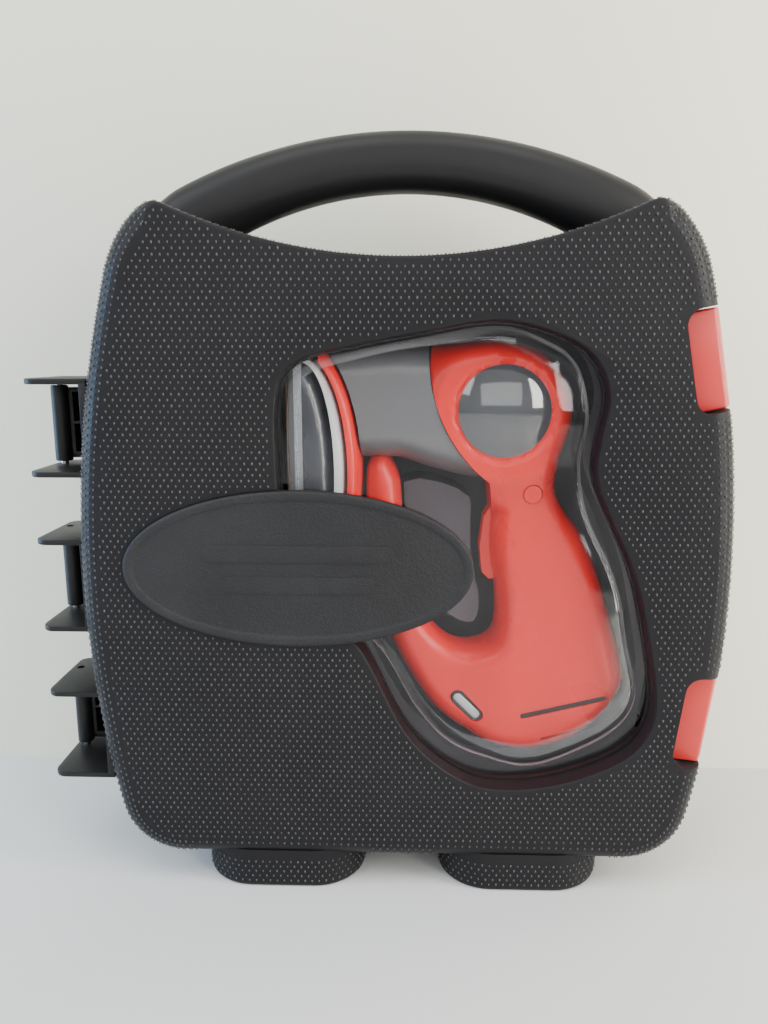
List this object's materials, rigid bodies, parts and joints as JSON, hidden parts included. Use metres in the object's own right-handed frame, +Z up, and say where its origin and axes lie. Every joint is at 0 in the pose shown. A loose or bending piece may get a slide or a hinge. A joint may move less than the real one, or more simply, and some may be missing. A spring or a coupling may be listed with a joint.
{
  "type": "cordless power tool in carrying case",
  "caption": "Cordless D-handle tool with a flat-soled head, in a moulded carrying case with a formed window, latches and a hinged lid.",
  "frame": {"origin": "on the floor, under the middle of the footprint", "axes": "+X to the right as seen from the window side, +Y towards the back of the case, +Z up"},
  "size_m": [0.3571, 0.101, 0.395],
  "materials": {
    "case_black": "moulded, fine raised dots",
    "smooth_black": "satin",
    "tray_black": "fine grain",
    "clear_sheet": "clear, glossy",
    "red_plastic": "satin gloss",
    "housing_grey": "satin",
    "dome_gloss": "polished",
    "trim_grey": "satin",
    "pad_rubber": "matt foam",
    "abrasive": "grit",
    "lens_clear": "clear, glossy",
    "switch_blue": "moulded",
    "cell_green": "shrink sleeve",
    "steel": "turned",
    "bronze": "sintered",
    "copper_core": "wound core",
    "aluminium_plate": "milled"
  },
  "bodies": {
    "case_base": {"base_shell": "case_black", "tool_tray": "tray_black", "tray_screws": "steel", "handle_rear": "smooth_black", "upper_knuckle": "smooth_black", "middle_knuckle": "smooth_black", "lower_knuckle": "smooth_black", "latch_pins": "steel", "grip_shell_front": "red_plastic", "grip_shell_rear": "red_plastic", "motor_housing_front": "housing_grey", "motor_housing_rear": "housing_grey", "side_dome_front": "dome_gloss", "side_dome_rear": "dome_gloss", "head_collar": "red_plastic", "trim_band": "trim_grey", "head_shell_front": "housing_grey", "head_shell_rear": "housing_grey", "platen": "trim_grey", "platen_pad": "pad_rubber", "abrasive_sheet": "abrasive", "trigger_pin": "steel", "trigger_spring": "steel", "switch_block": "switch_blue", "indicator_lens": "lens_clear", "battery_cells": "cell_green", "charge_socket": "smooth_black", "body_screws": "steel", "motor_can": "steel", "motor_bearings": "bronze", "gearbox_plate": "aluminium_plate", "output_bearings": "bronze"},
    "lid": {"lid_shell": "case_black", "window_blister": "clear_sheet", "window_retainer": "smooth_black", "badge_plate": "smooth_black", "handle_front": "smooth_black", "upper_hinge_fins": "smooth_black", "middle_hinge_fins": "smooth_black", "lower_hinge_fins": "smooth_black", "hinge_pins": "steel"},
    "upper_latch": {"upper_latch": "red_plastic"},
    "lower_latch": {"lower_latch": "red_plastic"},
    "trigger": {"trigger": "red_plastic"},
    "lock_button": {"lock_button": "dome_gloss"},
    "rotor": {"motor_rotor": "copper_core", "cooling_fan": "smooth_black", "drive_pinion": "steel"},
    "output": {"output_gear": "steel", "output_shaft": "steel", "eccentric_weight": "steel", "eccentric_bearing": "steel"}
  },
  "joints": [
    {"name": "lid_hinge", "type": "hinge", "parent": "case_base", "child": "lid", "pos_m": [-0.174, 0, 0.166], "axis": [0, 0, -1], "range_deg": [0, 180]},
    {"name": "upper_latch_pivot", "type": "hinge", "parent": "case_base", "child": "upper_latch", "pos_m": [0.16178, 0.008, 0.28303], "axis": [-0.1949, 0, 0.9808], "range_deg": [0, 95]},
    {"name": "lower_latch_pivot", "type": "hinge", "parent": "case_base", "child": "lower_latch", "pos_m": [0.16875, 0.008, 0.0986], "axis": [0.1203, 0, 0.9927], "range_deg": [0, 95]},
    {"name": "trigger_pivot", "type": "hinge", "parent": "case_base", "child": "trigger", "pos_m": [0.068, 0, 0.208], "axis": [0, -1, 0], "range_deg": [0, 7], "stiffness_Nm_per_rad": 0.4, "springref_deg": -11.46},
    {"name": "lock_button_slide", "type": "slide", "parent": "case_base", "child": "lock_button", "axis": [0, 1, 0], "range_m": [0, 0.002], "stiffness_N_per_m": 900, "springref_m": -0.002},
    {"name": "rotor_spin", "type": "hinge", "parent": "case_base", "child": "rotor", "pos_m": [0.013, 0, 0.258], "axis": [1, 0, 0], "continuous": true},
    {"name": "output_spin", "type": "hinge", "parent": "case_base", "child": "output", "pos_m": [0.013, 0, 0.2447], "axis": [1, 0, 0], "continuous": true}
  ],
  "couplings": [
    {"joint": "output_spin", "follows": "rotor_spin", "ratio": -0.46154}
  ]
}
